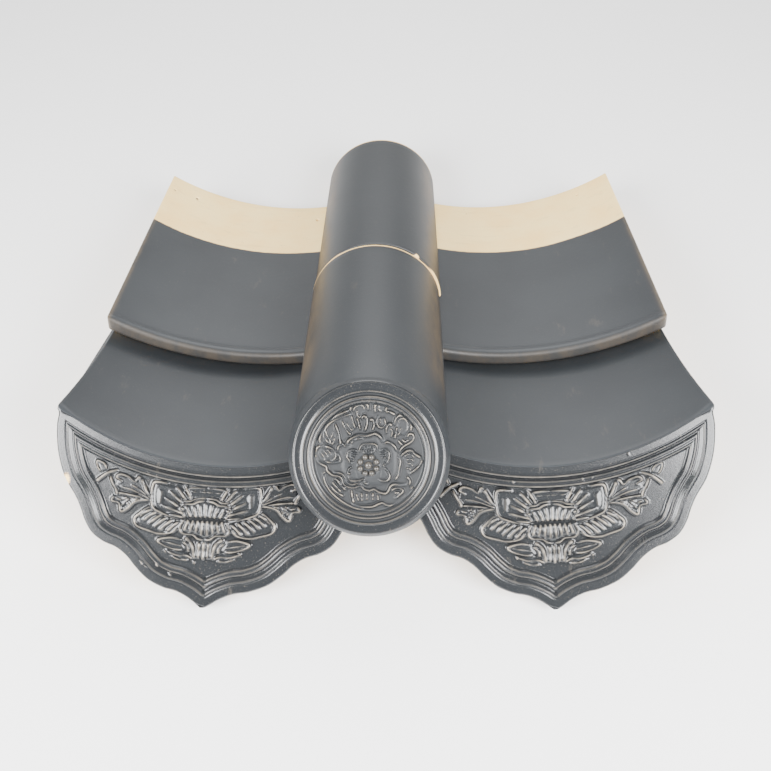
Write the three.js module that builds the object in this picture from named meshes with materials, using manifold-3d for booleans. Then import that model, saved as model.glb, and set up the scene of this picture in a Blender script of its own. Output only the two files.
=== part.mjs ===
// Laid set of glazed clay eave tiles: two drip tiles, two plain pan tiles and two half-round cover
// tiles, resting on each other. Millimetres, +Z up, the eave faces -Y, the ground is at z = 0.
import * as THREE from 'three';
import { mergeVertices } from 'three/addons/utils/BufferGeometryUtils.js';
import Module from 'manifold-3d';

const wasm = await Module();
wasm.setup();

// Everything is laid out along the line of the cover tiles, which slopes down to the rear.
const laySlope = 0.1903;        // slope of the cover line to the ground, radians
const pansShift = 11.2;         // the two pans sit this far right of the cover line

// Pan section, shared by the plain pans and the drip tiles
const panRadius = 270;          // radius of the hollow upper face
const panLength = 307;
const wall = 11;

const plainPan = {
  halfAngle: 0.491,             // half the arc the section spans, radians
  axisX: 110.5,                 // centre line of the hollow, from the middle of the pans
  axisZ: 263.2,
  roll: 0.094,                  // the outer edge is tipped up
  frontY: -85.3,
  lipDepth: 13.4,               // thickness of the rolled front lip
  lipLength: 15,
};

const dripTile = {
  halfAngle: 0.476,
  axisX: 117.6,
  valleyY: -229.5,              // where the hollow meets the pendant, at the bottom of the arc
  valleyZ: -15.7,
  pitch: -0.061,                // the rear end lies lower than the front
  roll: 0.081,
  flare: 0.045,                 // widening of the half angle at the front
  flareLength: 173,
  pendantLean: 0.599,           // pendant face against a square cut, leaning out at the bottom
  pendantThickness: 12,
};

// Wavy lower outline of the pendant, right half: distance from the middle, distance down its face
const pendantWaves = [
  [132.6, -38], [134, -24], [131.6, -3], [125, 17], [115.5, 32], [110.5, 42], [106.5, 52],
  [100, 62], [90, 69], [79, 73.2], [69.5, 80], [61, 89], [50, 98.2], [36, 104.4], [24, 107],
  [14, 111.4], [6, 116.8],
];
const pendantTip = 120;
const pendantFoot = 4;          // width of the flat the tip stands on
const pendantFieldDepth = 2.6;  // the field with the flower lies below the border
const pendantLand = 11;         // plain border along the edge
const pendantMoulding = 7;      // raised moulding inside the border
const pendantTopBand = 14;      // plain band under the hollow's front edge
const pendantCentreY = 28;      // middle the border narrows towards
const pendantSway = -4.5;       // tip and flower stand a little to the left of the middle
const pendantSwayReach = 90;    // the sway has faded out this far from the middle

const cover = {
  radius: 65,
  legZ: 2.4,                    // underside of the two long edges
  legTop: 3.4,                  // the round section turns straight down here
  rearLength: 256,
  rearLiftX: 1.4,               // the rear tile rides a little proud of the front one
  rearLiftZ: 1,
  neckLength: 18,
  neckGap: 2.2,
  neckZ: 5.4,                   // underside of the neck's edges
  jointGap: 0.5,
};

const disc = {
  lean: 0.614,                  // the disc's lower edge stands forward
  topY: -215.4,                 // top of the front face's edge
  topZ: 62.4,
  faceRadius: 59.9,
  rimRadius: 65,
  thickness: 13,
  flowerDrop: 7,                // the flower sits below the middle of the disc
};
// Ring profile of the disc: radius, height above the face
const discProfile = [
  [0, -2.4], [41.4, -2.4], [44, -0.3], [46.6, -0.3], [48.4, -2], [51.6, -0.4], [57.6, 0],
  [61.6, -1], [64, -3.6], [65, -7],
];

const glaze = { color: 0x6a7075, roughness: 0.42, metalness: 0.15 };
const acrossSteps = 20;

function closedMesh(positions, triangles) {
  const geometry = new THREE.BufferGeometry();
  geometry.setAttribute('position', new THREE.Float32BufferAttribute(positions, 3));
  geometry.setIndex(triangles);
  return geometry;
}

// A bent slab between two faces: place(u, v, face) gives its corners, u in across, v in along
function slab(across, along, place) {
  const positions = [];
  for (const face of [0, 1]) {
    for (const v of along) {
      for (const u of across) positions.push(...place(u, v, face).toArray());
    }
  }
  const wide = across.length;
  const corner = (face, row, column) => (face * along.length + row) * wide + column;
  const triangles = [];
  const quad = (a, b, c, d) => triangles.push(a, b, c, a, c, d);
  const last = wide - 1;
  for (let row = 0; row + 1 < along.length; row++) {
    const up = row + 1;
    for (let column = 0; column + 1 < wide; column++) {
      const next = column + 1;
      quad(corner(0, row, column), corner(0, row, next), corner(0, up, next), corner(0, up, column));
      quad(corner(1, row, column), corner(1, up, column), corner(1, up, next), corner(1, row, next));
    }
    quad(corner(0, up, 0), corner(1, up, 0), corner(1, row, 0), corner(0, row, 0));
    quad(corner(0, row, last), corner(1, row, last), corner(1, up, last), corner(0, up, last));
  }
  for (let column = 0; column + 1 < wide; column++) {
    const next = column + 1;
    const end = along.length - 1;
    quad(corner(0, 0, next), corner(0, 0, column), corner(1, 0, column), corner(1, 0, next));
    quad(corner(0, end, column), corner(0, end, next), corner(1, end, next), corner(1, end, column));
  }
  return closedMesh(positions, triangles);
}

// Volume inside a closed mesh, negative where its faces point inwards
function signedVolume(positions, triangles) {
  const corner = (i) => new THREE.Vector3().fromArray(positions, triangles[i] * 3);
  let volume = 0;
  for (let i = 0; i < triangles.length; i += 3) {
    volume += corner(i).dot(corner(i + 1).cross(corner(i + 2))) / 6;
  }
  return volume;
}

function toSolid(geometry) {
  const bare = geometry.clone();
  bare.deleteAttribute('normal');
  bare.deleteAttribute('uv');
  const merged = mergeVertices(bare, 1e-4);
  const vertProperties = Float32Array.from(merged.attributes.position.array);
  const triVerts = Uint32Array.from(merged.index.array);
  if (signedVolume(vertProperties, triVerts) < 0) triVerts.reverse();
  return new wasm.Manifold(new wasm.Mesh({ numProp: 3, vertProperties, triVerts }));
}

function toGeometry(solid) {
  const mesh = solid.getMesh();
  return closedMesh(Array.from(mesh.vertProperties), Array.from(mesh.triVerts));
}

function join(solids) {
  return solids.reduce((sum, next) => sum.add(next));
}

function steps(from, to, count) {
  return Array.from({ length: count + 1 }, (_, i) => from + (to - from) * i / count);
}

// A point `depth` under the hollow's upper face, straight below the point at an angle from the
// bottom of the hollow
function onHollow(angle, depth, y) {
  const x = panRadius * Math.sin(angle);
  return new THREE.Vector3(x, y, -Math.sqrt((panRadius + depth) ** 2 - x ** 2));
}

// Plain pan tile about the axis of its hollow, front at y = 0
function plainPanGeometry() {
  const { halfAngle, lipDepth, lipLength } = plainPan;
  const nose = 3.4;
  // distance from the front, how far the upper face drops and how thick the tile is there
  const sections = [
    [0, nose, lipDepth - nose - 2], [1, 1.3, lipDepth - 2], [nose, 0, lipDepth],
    [lipLength - 3, 0, lipDepth], [lipLength, 0, wall + 0.8], [lipLength + 3, 0, wall],
    [panLength / 2, 0, wall], [panLength - 2, 0, wall], [panLength, 1, wall - 1],
  ];
  const place = (side, section, face) => {
    const [y, drop, thickness] = section;
    return onHollow(side * halfAngle, face === 0 ? drop : drop + thickness, y);
  };
  return toGeometry(toSolid(slab(steps(-1, 1, acrossSteps), sections, place)));
}

// Height down the pendant's face at which a band lies, `below` the front edge of the hollow
function pendantTopAt(u, below) {
  return (Math.sqrt(panRadius ** 2 - u ** 2) - panRadius) / Math.cos(dripTile.pendantLean) + below;
}

// Where the sway moves a point of the outline at a distance `u` from the middle
function swayed(u) {
  return u + pendantSway * (1 - THREE.MathUtils.smoothstep(Math.abs(u), 0, pendantSwayReach));
}

// Outline of the pendant face, drawn in by `inset` along the waves and `below` along the top
function pendantShape(inset, below) {
  const centre = new THREE.Vector2(0, pendantCentreY);
  const half = pendantWaves.map(([u, v]) => {
    const spoke = new THREE.Vector2(u, v).sub(centre);
    return spoke.setLength(spoke.length() - inset * 1.12).add(centre);
  }).filter((point) => point.y > pendantTopAt(point.x, below) + 2);
  const tip = pendantTip - inset * 1.12;
  const curve = new THREE.SplineCurve(half).getPoints(half.length * (inset > 0 ? 1 : 2));
  const shape = new THREE.Shape();
  shape.moveTo(swayed(pendantFoot / 2), -tip);
  for (const point of [...curve].reverse()) shape.lineTo(swayed(point.x), -point.y);
  const reach = curve[0].x - (inset > 0 ? 0.4 : 4);
  for (const u of steps(reach, -reach, acrossSteps)) shape.lineTo(u, -pendantTopAt(u, below));
  for (const point of curve) shape.lineTo(swayed(-point.x), -point.y);
  shape.lineTo(swayed(-pendantFoot / 2), -tip);
  return shape;
}

// Plate of a pendant outline: from `low` to `high` above the pendant's face
function pendantPlate(shape, low, high) {
  const plate = new THREE.ExtrudeGeometry(shape, { depth: high - low, bevelEnabled: false });
  return toSolid(plate.translate(0, 0, low));
}

// Low rounded petal or leaf lying on a face, pointing along `turn` from +X
function petal(x, y, z, length, width, height, turn) {
  const form = new THREE.SphereGeometry(1, 8, 4);
  form.scale(length / 2, width / 2, height);
  form.rotateZ(turn);
  return toSolid(form.translate(x, y, z));
}

// Flower with side sprays on a pendant, on the field at height `level`; x right, y up the face
function pendantFlower(level) {
  const forms = [];
  const add = (x, y, length, width, height, turn) => {
    forms.push(petal(x + pendantSway, y, level, length, width, height, turn));
  };
  for (const side of [-1, 1]) {
    const turned = (angle) => (side > 0 ? angle : Math.PI - angle);
    add(side * 29, -32, 40, 25, 2, turned(0.1));
    add(side * 40, -50, 42, 16, 2, turned(0.1));
    add(side * 64, -27, 34, 14, 1.8, turned(0.3));
    add(side * 87, -11, 16, 7, 1.6, turned(1));
    add(side * 23, -70, 32, 11, 1.8, turned(0.3));
  }
  add(0, -36, 40, 15, 2.4, 0);
  add(0, -53, 38, 16, 2.4, 0);
  add(0, -23, 26, 6, 1.8, 0);
  add(0, -70, 22, 8, 1.6, Math.PI / 2);
  return forms;
}

// Drip tile about the axis of its hollow; the pendant meets the hollow's lowest line at y = 0
function dripTileGeometry() {
  const { halfAngle, flare, flareLength, pendantLean, pendantThickness } = dripTile;
  const place = (side, y, face) => {
    const spread = halfAngle + flare * Math.max(0, 1 - y / flareLength) ** 2;
    const point = onHollow(side * spread, face === 0 ? 0 : wall, y);
    const frontY = (point.z + panRadius) * Math.tan(pendantLean) + 1;
    point.y = frontY + (panLength - frontY) * (y / panLength);
    return point;
  };
  const rows = [0, 30, 60, 95, 135, flareLength, 240, panLength];
  const pan = toSolid(slab(steps(-1, 1, acrossSteps), rows, place));
  const inner = pendantLand + pendantMoulding;
  const fieldShape = pendantShape(inner, pendantTopBand + pendantMoulding);
  const field = pendantPlate(fieldShape, -pendantFieldDepth, 1);
  const edge = pendantPlate(pendantShape(pendantLand, pendantTopBand), -1.2, 1);
  const plate = pendantPlate(pendantShape(0, 0), -pendantThickness, 0);
  const sunk = plate.subtract(edge).subtract(field);
  const face = join([sunk, ...pendantFlower(-pendantFieldDepth)]);
  // turn the face from its own plane (x right, y up the face) to lean on the front of the pan
  const lean = new THREE.Matrix4().makeRotationX(Math.PI / 2 - pendantLean);
  const set = new THREE.Matrix4().makeTranslation(0, 0, -panRadius).multiply(lean);
  return toGeometry(pan.add(toSolid(toGeometry(face).applyMatrix4(set))));
}

const up = new THREE.Vector3(0, Math.sin(disc.lean), Math.cos(disc.lean));
const discNormal = new THREE.Vector3(0, -Math.cos(disc.lean), Math.sin(disc.lean));
const discCentre = new THREE.Vector3(0, disc.topY, disc.topZ).addScaledVector(up, -disc.faceRadius);

// A point on a round of the given radius at height z or above, from side -1 to side 1
function onRound(side, radius, y, z) {
  const angle = side * Math.acos(z / radius);
  return new THREE.Vector3(radius * Math.sin(angle), y, radius * Math.cos(angle));
}

// Half-round shell. front(side, radius) gives the shell's front corner, from side -1 to side 1;
// over the last stretch the section grows from the half round into that front.
function coverShell(radius, length, front, blend) {
  const across = [-1.001, ...steps(-1, 1, acrossSteps), 1.001];
  const place = (side, v, face) => {
    const r = face === 0 ? radius : radius - wall;
    const within = Math.max(-1, Math.min(1, side));
    const rear = onRound(within, r, length, cover.legTop);
    const target = front(within, r);
    const point = new THREE.Vector3(0, rear.y + (target.y - rear.y) * v, 0);
    const share = THREE.MathUtils.smoothstep(v, 1 - blend, 1);
    point.x = rear.x + (target.x - rear.x) * share;
    point.z = rear.z + (target.z - rear.z) * share;
    if (Math.abs(side) > 1) point.z = cover.legZ;
    return point;
  };
  const grown = [1 - blend, 1 - blend * 0.65, 1 - blend * 0.35, 1];
  const rows = blend > 0 ? [0, 0.4, ...grown] : [0, 0.5, 1];
  return slab(across, rows, place);
}

// Neck at a cover tile's rear end, which the next tile up the roof laps over
function coverNeck(rearY) {
  const outer = cover.radius - wall - cover.neckGap;
  const place = (side, y, face) => {
    return onRound(side, face === 0 ? outer : outer - wall + 2, rearY + y, cover.neckZ);
  };
  return slab(steps(-1, 1, acrossSteps), [cover.neckLength, -2], place);
}

// Collar that carries the neck inside the tile's rear end
function coverCollar(rearY) {
  const place = (side, y, face) => {
    const r = face === 0 ? cover.radius - wall + 1 : cover.radius - 2 * wall + 1.2;
    return onRound(side, r, rearY + y, cover.neckZ);
  };
  return slab(steps(-1, 1, acrossSteps), [-1.5, -13], place);
}

function rearCoverGeometry() {
  const square = (side, r) => onRound(side, r, cover.jointGap, cover.legTop);
  const shell = toSolid(coverShell(cover.radius, cover.rearLength, square, 0));
  const parts = [shell, toSolid(coverNeck(cover.rearLength)), toSolid(coverCollar(cover.rearLength))];
  return toGeometry(join(parts));
}

// Rosette with pearls on the disc, in the disc's frame: x right, y up the face, z out of it
function discFlower() {
  const level = -2.4;
  const middleY = -disc.flowerDrop;
  const forms = [petal(0, middleY, level, 5.8, 5.8, 3.4, 0)];
  for (let i = 0; i < 8; i++) {
    const angle = (i + 0.5) * Math.PI / 4;
    forms.push(petal(7 * Math.cos(angle), middleY + 7 * Math.sin(angle), level, 4.2, 4.2, 2.6, 0));
  }
  for (let i = 0; i < 5; i++) {
    const angle = Math.PI / 2 + i * Math.PI * 0.4;
    const x = 13.5 * Math.cos(angle);
    forms.push(petal(x, middleY + 13.5 * Math.sin(angle), level, 10, 13, 2.2, angle));
    forms.push(petal(x * 1.45, middleY + 19.5 * Math.sin(angle), level, 13, 19, 1.5, angle));
  }
  const leaves = [
    [-31, 15, 1.1], [-6, 31, 1.6], [12, 33, 1.3], [28, 17, 1.2],
    [32, -2, 0.4], [-22, -25, 2.4], [24, -26, 0.8], [0, -34, 0],
  ];
  for (const [x, y, turn] of leaves) forms.push(petal(x, y, level, 15, 9, 1.8, turn));
  return forms;
}

function eaveCoverGeometry() {
  const profile = [...discProfile, [disc.rimRadius, -disc.thickness], [0, -disc.thickness]];
  const turned = profile.map(([r, y]) => new THREE.Vector2(r, y)).reverse();
  const plate = new THREE.LatheGeometry(turned, 40);
  const face = join([toSolid(plate.rotateX(Math.PI / 2)), ...discFlower()]);
  const across = new THREE.Vector3(1, 0, 0);
  const set = new THREE.Matrix4().makeBasis(across, up, discNormal).setPosition(discCentre);
  const round = toSolid(toGeometry(face).applyMatrix4(set));
  const behind = (side, r) => {
    const spoke = onRound(side, r - 0.6, 0, 0);
    const rim = discCentre.clone().addScaledVector(discNormal, -7).addScaledVector(up, spoke.z);
    rim.x = spoke.x;
    return rim;
  };
  const shell = toSolid(coverShell(cover.radius, 0, behind, 0.22));
  const parts = [shell, toSolid(coverNeck(0)), toSolid(coverCollar(0)), round];
  return toGeometry(join(parts));
}

function tile(name, geometry) {
  const mesh = new THREE.Mesh(geometry, new THREE.MeshStandardMaterial(glaze));
  mesh.name = name;
  return mesh;
}

function layPlainPan(name, side) {
  const mesh = tile(name, plainPanGeometry());
  mesh.position.set(pansShift + side * plainPan.axisX, plainPan.frontY, plainPan.axisZ);
  mesh.rotation.y = -side * plainPan.roll;
  return mesh;
}

function layDripTile(name, side) {
  const mesh = tile(name, dripTileGeometry());
  mesh.position.z = panRadius;
  mesh.rotation.y = -side * dripTile.roll;
  const pitched = new THREE.Group();
  pitched.position.set(pansShift + side * dripTile.axisX, dripTile.valleyY, dripTile.valleyZ);
  pitched.rotation.x = dripTile.pitch;
  pitched.add(mesh);
  return pitched;
}

const laid = new THREE.Group();
laid.rotation.x = -laySlope;
for (const [word, side] of [['left', -1], ['right', 1]]) {
  laid.add(layDripTile(`${word}_drip_tile`, side));
  laid.add(layPlainPan(`${word}_pan_tile`, side));
}
laid.add(tile('eave_cover_tile', eaveCoverGeometry()));
const rearCover = tile('rear_cover_tile', rearCoverGeometry());
rearCover.position.set(cover.rearLiftX, 0, cover.rearLiftZ);
laid.add(rearCover);

const tileSet = new THREE.Group();
tileSet.add(laid);
tileSet.updateMatrixWorld(true);
const bounds = new THREE.Box3().setFromObject(tileSet, true);
const middle = bounds.getCenter(new THREE.Vector3());
tileSet.position.set(-middle.x, -middle.y, -bounds.min.z);

export default tileSet;
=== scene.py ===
import bpy
import math
import numpy as np
from mathutils import Matrix


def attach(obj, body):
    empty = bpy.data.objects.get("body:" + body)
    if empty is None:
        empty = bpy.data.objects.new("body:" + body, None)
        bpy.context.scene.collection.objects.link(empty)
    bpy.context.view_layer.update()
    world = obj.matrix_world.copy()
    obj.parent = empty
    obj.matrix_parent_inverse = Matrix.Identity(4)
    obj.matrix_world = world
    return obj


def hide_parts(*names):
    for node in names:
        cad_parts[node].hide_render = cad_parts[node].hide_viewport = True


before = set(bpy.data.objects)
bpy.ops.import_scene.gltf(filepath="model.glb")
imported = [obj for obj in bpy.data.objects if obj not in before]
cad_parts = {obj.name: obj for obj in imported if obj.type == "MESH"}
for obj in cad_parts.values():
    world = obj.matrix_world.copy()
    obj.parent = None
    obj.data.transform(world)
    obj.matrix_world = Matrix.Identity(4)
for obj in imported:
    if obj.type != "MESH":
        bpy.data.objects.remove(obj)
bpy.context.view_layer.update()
print("frame loaded")

# Lengths are millimetres on the tiles' own line: +Y rearwards along the cover row, +Z square to it.
lay = {"slope": 0.1903, "x": -11.2, "y": 19.646, "z": 59.51, "pansShift": 11.2}
metre = 0.001

# How bare a point is: millimetres past the line where the glaze stops, below nought where it is glazed.
fullGlaze, fullClay, noStrip = -20, 100, -400


def toRow(points, place=True):  # from the tiles' line in millimetres to the frame in metres
    c, s = math.cos(lay["slope"]), math.sin(lay["slope"])
    x, y, z = np.moveaxis(np.asarray(points, float), -1, 0)
    turned = np.stack([x, y * c + z * s, z * c - y * s], -1)
    return (turned + (lay["x"], lay["y"], lay["z"])) * metre if place else turned


def smooth(x, low, high):
    t = np.clip((x - low) / (high - low), 0, 1)
    return t * t * (3 - 2 * t)


def spline(points, count):  # soft curve through a few points
    p = np.asarray(points, float)
    if len(p) == 2:
        return p[0] + (p[1] - p[0]) * np.linspace(0, 1, count)[:, None]
    ends = np.vstack([2 * p[0] - p[1], p, 2 * p[-1] - p[-2]])
    t = np.linspace(0, len(p) - 1, count)
    i = np.minimum(t.astype(int), len(p) - 2)
    f = (t - i)[:, None]
    a, b, c, d = ends[i], ends[i + 1], ends[i + 2], ends[i + 3]
    bend = (2 * a - 5 * b + 4 * c - d) * f**2 + (3 * b - a - 3 * c + d) * f**3
    return 0.5 * (2 * b + (c - a) * f + bend)


def evenly(line, count):  # the same line with its points at even distances
    run = np.concatenate([[0], np.cumsum(np.linalg.norm(np.diff(line, axis=0), axis=1))])
    at = np.linspace(0, run[-1], count)
    return np.stack([np.interp(at, run, line[:, k]) for k in (0, 1)], -1)


def distanceTo(points, line):  # from each point to a run of short straight pieces, and how far along
    best = np.full(len(points), 1e9)
    along = np.zeros(len(points))
    for k in range(len(line) - 1):
        a, ab = line[k], line[k + 1] - line[k]
        t = np.clip((points - a) @ ab / max(ab @ ab, 1e-9), 0, 1)
        d = np.linalg.norm(points - a - t[:, None] * ab, axis=1)
        nearer = d < best
        best[nearer] = d[nearer]
        along[nearer] = (k + t[nearer]) / (len(line) - 1)
    return best, along


def inside(points, ring):
    x, y = points.T
    odd = np.zeros(len(points), bool)
    for (x0, y0), (x1, y1) in zip(ring, np.roll(ring, -1, 0)):
        crosses = (y0 > y) != (y1 > y)
        odd ^= crosses & (x < (x1 - x0) * (y - y0) / (y1 - y0 + 1e-12) + x0)
    return odd


def sheetFaces(rows, columns, closed=False):
    i = np.arange(rows - 1)[:, None] * columns
    j = np.arange(columns if closed else columns - 1)[None, :]
    k = (j + 1) % columns
    return np.stack([i + j, i + k, i + columns + k, i + columns + j], -1).reshape(-1, 4)


def loftFaces(rows, columns):  # a row of closed loops; each end is closed from one half to the other
    j = np.arange(columns // 2 - 1)
    last = (rows - 1) * columns
    near = np.stack([j + 1, j, columns - 1 - j, columns - 2 - j], -1)
    far = np.stack([j, j + 1, columns - 2 - j, columns - 1 - j], -1) + last
    return np.vstack([sheetFaces(rows, columns, True), near, far])


def mark(mesh, label, numbers):  # what each point tells the materials
    layer = mesh.attributes.new(label, "FLOAT", "POINT")
    layer.data.foreach_set("value", np.asarray(numbers, np.float32).ravel())


def putIn(name, mesh):
    mesh.polygons.foreach_set("use_smooth", np.ones(len(mesh.polygons), bool))
    piece = bpy.data.objects.new(name, mesh)
    bpy.context.scene.collection.objects.link(piece)
    return piece


def plainMesh(piece):  # what the piece's modifiers make of it
    return bpy.data.meshes.new_from_object(piece.evaluated_get(bpy.context.evaluated_depsgraph_get()))


def makePiece(name, points, faces, values, more=()):
    flat = np.asarray(points, float).reshape(-1, 3)
    a, b, c, d = (flat[faces[:, k]] for k in range(4))
    volume = np.einsum("ij,ij->", a, np.cross(b, c) + np.cross(c, d))
    mesh = bpy.data.meshes.new(name)
    wound = faces.tolist() + [list(face) for face in more]
    if volume < 0:
        wound = [face[::-1] for face in wound]
    mesh.from_pydata(toRow(flat).tolist(), [], wound)
    for label, numbers in values.items():
        mark(mesh, label, numbers)
    return putIn(name, mesh)


def roundedEnd(radius, count):  # pairs: how far in from an end, and how far drawn in there
    turn = np.linspace(0, math.pi / 2, count)
    return [(radius * (1 - math.cos(t)), radius * (1 - math.sin(t))) for t in turn]


def roundedDrop(e, edge):  # how far a rounded edge has fallen away at a distance in from it
    return edge - np.sqrt(edge**2 - (edge - e) ** 2)


def pressDent(piece, place, size):  # a shallow pit in a closed piece
    bpy.ops.mesh.primitive_uv_sphere_add(segments=14, ring_count=8, radius=size * metre)
    ball = bpy.context.object
    ball.data.transform(Matrix.Translation(toRow(place).tolist()))
    combine(piece, ball, "DIFFERENCE")


def combine(piece, other, operation):  # one closed body from two, the other is used up
    join = piece.modifiers.new("combine", "BOOLEAN")
    join.operation = operation
    join.solver = "MANIFOLD"
    join.object = other
    made = plainMesh(piece)
    piece.modifiers.remove(join)
    piece.data = made
    made.name = piece.name
    bpy.data.objects.remove(other)


# Plain pan tiles
panTile = {
    "radius": 270, "halfAngle": 0.491, "wall": 11, "length": 307, "front": -85.3,
    "axisX": 110.5, "axisZ": 263.2, "roll": 0.094,
    "lipDepth": 13.4, "lipLength": 14, "nose": 4.2, "edge": 2.4,
    "dents": {  # on the left and the right tile: across, along, size
        -1: [(-97, 278, 1.5), (50, 272, 1.7), (-124, 274.5, 1.1)],
        1: [(92, 285.5, 1.4), (-42.5, 286.5, 0.9)],
    },
    "beadRise": 0.8, "beadAt": 6.5, "beadWidth": 3.6,
    "glazeEnd": 194.2, "across": 92, "step": 6,
    "uneven": 0.25,  # how far the hand-made face strays from true
}


def hollowPoint(across, depth, radius):  # distance across the hollow, depth under its face
    x = radius * np.sin(across / radius)
    return x, -np.sqrt((radius + depth) ** 2 - x**2)


def slabLoop(half, thick, inset, edge, count):  # half ring over the top, then back underneath
    r = max(edge - inset, 0.05)
    reach = half - inset - r
    turn = np.linspace(0, math.pi / 2, 6)
    across = np.concatenate([-reach - r * np.cos(turn), np.linspace(-reach, reach, count)[1:-1]])
    across = np.concatenate([across, reach + r * np.sin(turn)])
    depth = np.full(len(across), float(inset))
    depth[:6] += r * (1 - np.sin(turn))
    depth[-6:] += r * (1 - np.cos(turn))
    return np.stack([np.r_[across, across[::-1]], np.r_[depth, thick - depth[::-1]]], -1)


def layPan(points, side):
    t = panTile
    turn = -side * t["roll"]
    x, y, z = np.moveaxis(points, -1, 0)
    shifted = x * math.cos(turn) + z * math.sin(turn) + lay["pansShift"] + side * t["axisX"]
    return np.stack([shifted, y + t["front"], z * math.cos(turn) - x * math.sin(turn) + t["axisZ"]], -1)


def buildPan(name, side):
    t = panTile
    half = t["radius"] * t["halfAngle"]
    stations = roundedEnd(t["nose"], 8)
    stations += [(y, 0) for y in np.arange(t["nose"] + 1, t["lipLength"] + 8, 1.5)]
    stations += [(y, 0) for y in np.arange(t["lipLength"] + 12, t["length"] - 6, t["step"])]
    stations += [(t["length"] - y, q) for y, q in reversed(roundedEnd(t["edge"], 6))]
    points, bare, thin = [], [], []
    for y, inset in stations:
        lip = 1 - smooth(y, t["lipLength"] - 3, t["lipLength"] + 3)
        thick = t["wall"] + (t["lipDepth"] - t["wall"]) * lip
        loop = slabLoop(half, thick, inset, t["edge"], t["across"])
        across, depth = loop.T
        x, z = hollowPoint(across, depth, t["radius"])
        onTop = np.arange(len(across)) < len(across) // 2
        bead = t["beadRise"] * np.exp(-((y - t["beadAt"]) / t["beadWidth"]) ** 2)
        z = z + np.where(onTop, bead * smooth(half - np.abs(across), 0, 5), 0)
        z = z + t["uneven"] * np.sin(across / 41 + side) * np.sin(y / 53 + 2 * side)
        points.append(np.stack([x, np.full(len(x), y), z], -1))
        under = np.minimum(np.minimum(half - np.abs(across), y) - 5, 20)
        bare.append(np.where(depth > thick / 2, np.maximum(under, y - t["glazeEnd"]), y - t["glazeEnd"]))
        thin.append(np.maximum(1 - smooth(half - np.abs(across), 1, 6), 0.4 * (1 - smooth(y, 1, 4))))
    points = layPan(np.array(points), side)
    values = {"bare": bare, "tone": np.zeros(points.shape[:2]), "thin": thin}
    piece = makePiece(name, points, loftFaces(*points.shape[:2]), values)
    for across, y, size in t["dents"][side]:  # small pits left in the bare strip
        x, z = hollowPoint(across, 0.1 * size, t["radius"])
        pressDent(piece, layPan(np.array([x, y, z]), side), size)
    print("pan tile", name, len(piece.data.polygons), "faces")
    return piece


# Relief: soft lines, mounds and fans drawn on a face, all heights in millimetres
def near(points, line, reach):
    low, high = line.min(0) - reach, line.max(0) + reach
    return np.all((points > low) & (points < high), axis=1)


def drawLine(height, points, path, width, rise, tapers=(0.12, 0.12), riding=False):
    line = spline(path, 6 * len(path))
    at = np.flatnonzero(near(points, line, width))
    if len(at):
        away, along = distanceTo(points[at], line)
        ends = np.clip(np.minimum(along / tapers[0], (1 - along) / tapers[1]), 0, 1) ** 0.5
        # the mould is worn and never quite even
        pressed = 0.86 + 0.14 * np.sin(11 * along + 2 * line[0, 0] + line[0, 1])
        ridge = rise * ends * pressed * (1 - smooth(away, 0, 1.25 * width))
        # riding: on top of what is there already
        height[at] = height[at] + ridge if riding else np.maximum(height[at], ridge)


def raiseMound(height, points, path, rise, soft):
    ring = spline(np.vstack([path, path[0]]), 5 * len(path))
    at = np.flatnonzero(near(points, ring, 0))
    at = at[inside(points[at], ring)]
    if len(at):
        away, _ = distanceTo(points[at], ring)
        height[at] = np.maximum(height[at], rise * smooth(away, 0, soft))


def reliefTone(height):  # how far a point stands proud of what is round it
    spread = height.copy()
    for _ in range(12):
        edge = np.pad(spread, 1, mode="edge")
        spread = (edge[:-2, 1:-1] + edge[2:, 1:-1] + edge[1:-1, :-2] + edge[1:-1, 2:] + 2 * spread) / 6
    return height - spread


# Half-round cover tiles
coverTile = {
    "radius": 65, "wall": 11, "foot": 2.4, "edge": 1.6, "around": 72,
    "rearLength": 256, "rearLift": (1.4, 1.0), "jointGap": 0.5,
    "neck": 18, "neckRadius": 51.8, "neckWall": 9, "neckFoot": 5.4, "collar": 13,
    # how the shell meets the disc: inset at the sides, more at the crown, depth behind the face, crown's rise
    "inset": 0.6, "crownInset": 3, "behind": 7, "crownRise": 3.8,
    "grow": 0.22, "chipAt": 0.67,
    "forward": -100,  # a place far enough ahead of the neck to be glazed
}


def archLoop(outer, inner, foot, inset):  # left foot, over the top, right foot, back underneath
    t = coverTile
    r = max(t["edge"] - inset, 0.05)
    low = foot + inset + r
    turn = np.linspace(0, math.pi / 2, 5)[:-1]
    chains = []
    for radius, way in ((outer - inset, 1), (inner + inset, -1)):
        wide = math.sqrt(radius**2 - low**2)
        angle = np.linspace(-1, 1, t["around"]) * math.acos(low / radius)
        cornerX = wide - way * r * (1 - np.sin(turn))
        cornerZ = low - r * np.cos(turn)
        x = np.concatenate([-cornerX, radius * np.sin(angle), cornerX[::-1]])
        z = np.concatenate([cornerZ, radius * np.cos(angle), cornerZ[::-1]])
        chains.append(np.stack([x, z], -1))
    return np.vstack([chains[0], chains[1][::-1]])


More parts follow.
